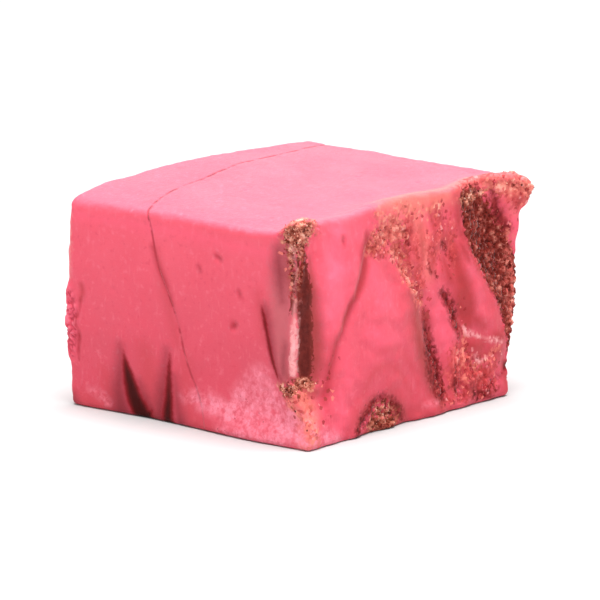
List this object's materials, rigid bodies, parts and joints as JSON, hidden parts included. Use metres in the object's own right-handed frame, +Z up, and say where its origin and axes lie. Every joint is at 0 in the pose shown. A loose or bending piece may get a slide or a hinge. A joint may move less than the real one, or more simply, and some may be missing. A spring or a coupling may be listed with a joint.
{
  "type": "fudge",
  "caption": "Hand-cut block of marbled fudge in a plain and a swirled layer, lying on a cut side with its swirled top facing sideways.",
  "frame": {"origin": "on the ground under the middle of the piece", "axes": "+Z up, +X from the foot of the slab towards its swirled top, -Y out of the long cut that faces the viewer"},
  "size_m": [0.0375, 0.038, 0.0258],
  "materials": {
    "plain_fudge": "smooth knife-cut pink fudge with a faint satin sheen and fine pits",
    "marbled_fudge": "pink fudge marbled with chocolate, grainy and crumbly where the swirls come to the surface"
  },
  "bodies": {
    "root": {"base_layer": "plain_fudge", "swirled_layer": "marbled_fudge"}
  },
  "joints": []
}
